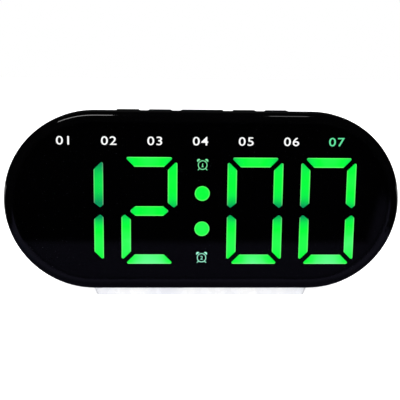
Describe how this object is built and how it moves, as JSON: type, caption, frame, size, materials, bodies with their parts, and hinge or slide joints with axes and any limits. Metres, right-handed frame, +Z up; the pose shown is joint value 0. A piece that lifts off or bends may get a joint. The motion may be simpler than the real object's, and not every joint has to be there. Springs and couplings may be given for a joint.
{
  "type": "digital desk clock",
  "caption": "Stadium-shaped digital desk clock with a smoked lens, lit segment digits, a row of keys on top, a battery bay behind a hinged door, and a low foot.",
  "frame": {"origin": "on the table, under the middle of the case", "axes": "+X to the viewer's right along the face, +Y to the back, +Z up"},
  "size_m": [0.165, 0.038, 0.0805],
  "materials": {
    "smoked_lens": "polished smoked acrylic",
    "black_film": "printed black, matt",
    "black_case": "satin moulded black",
    "lit_green": "milky, lit from behind",
    "dark_diffuser": "smoked diffuser, unlit",
    "milky_diffuser": "milky diffuser",
    "board_green": "solder-masked board",
    "led_white": "moulded lens",
    "chip_black": "moulded epoxy",
    "steel": "plated",
    "can_aluminium": "sleeveless can",
    "plug_white": "moulded nylon",
    "key_black": "satin moulded black",
    "plunger_grey": "moulded",
    "ribbon_grey": "flexible ribbon",
    "cell_wrap": "printed sleeve, bare",
    "contact_nickel": "nickel plated",
    "lead_red": "insulated",
    "lead_blue": "insulated",
    "lead_yellow": "insulated",
    "sounder_black": "moulded",
    "foot_white": "satin white",
    "pad_rubber": "soft pad"
  },
  "bodies": {
    "case": {"front_lens": "smoked_lens", "mask_film": "black_film", "front_case": "black_case", "hour_tens_segments": "lit_green", "hour_units_segments": "lit_green", "minute_tens_segments": "lit_green", "minute_units_segments": "lit_green", "unlit_segments": "dark_diffuser", "colon_dots": "lit_green", "icon_windows": "milky_diffuser", "label_windows": "milky_diffuser", "main_board": "board_green", "segment_leds": "led_white", "driver_chips": "chip_black", "clock_chip": "chip_black", "crystal": "steel", "capacitors": "can_aluminium", "board_connectors": "plug_white", "board_screws": "steel", "case_screws": "steel", "rear_shell": "black_case", "switch_bodies": "chip_black", "key_board": "board_green", "key_board_screws": "steel", "key_ribbon": "ribbon_grey", "battery_cells": "cell_wrap", "contact_plates": "contact_nickel", "contact_springs": "contact_nickel", "battery_leads": "lead_red", "sounder_leads": "lead_blue", "socket_leads": "lead_yellow", "sounder": "sounder_black", "power_socket": "sounder_black", "socket_pin": "contact_nickel", "base_foot": "foot_white", "foot_pads": "pad_rubber"},
    "mode_button": {"mode_key": "key_black", "mode_plunger": "plunger_grey"},
    "set_button": {"set_key": "key_black", "set_plunger": "plunger_grey"},
    "snooze_button": {"snooze_key": "key_black", "snooze_plunger": "plunger_grey"},
    "up_button": {"up_key": "key_black", "up_plunger": "plunger_grey"},
    "down_button": {"down_key": "key_black", "down_plunger": "plunger_grey"},
    "door": {"battery_door": "black_case"}
  },
  "joints": [
    {"name": "mode_press", "type": "slide", "parent": "case", "child": "mode_button", "axis": [0, 0, -1], "range_m": [0, 0.0005], "stiffness_N_per_m": 400},
    {"name": "set_press", "type": "slide", "parent": "case", "child": "set_button", "axis": [0, 0, -1], "range_m": [0, 0.0005], "stiffness_N_per_m": 400},
    {"name": "snooze_press", "type": "slide", "parent": "case", "child": "snooze_button", "axis": [0, 0, -1], "range_m": [0, 0.0005], "stiffness_N_per_m": 400},
    {"name": "up_press", "type": "slide", "parent": "case", "child": "up_button", "axis": [0, 0, -1], "range_m": [0, 0.0005], "stiffness_N_per_m": 400},
    {"name": "down_press", "type": "slide", "parent": "case", "child": "down_button", "axis": [0, 0, -1], "range_m": [0, 0.0005], "stiffness_N_per_m": 400},
    {"name": "door_hinge", "type": "hinge", "parent": "case", "child": "door", "pos_m": [-0.02635, 0.018, 0.022], "axis": [-1, 0, 0], "range_deg": [0, 90]}
  ]
}
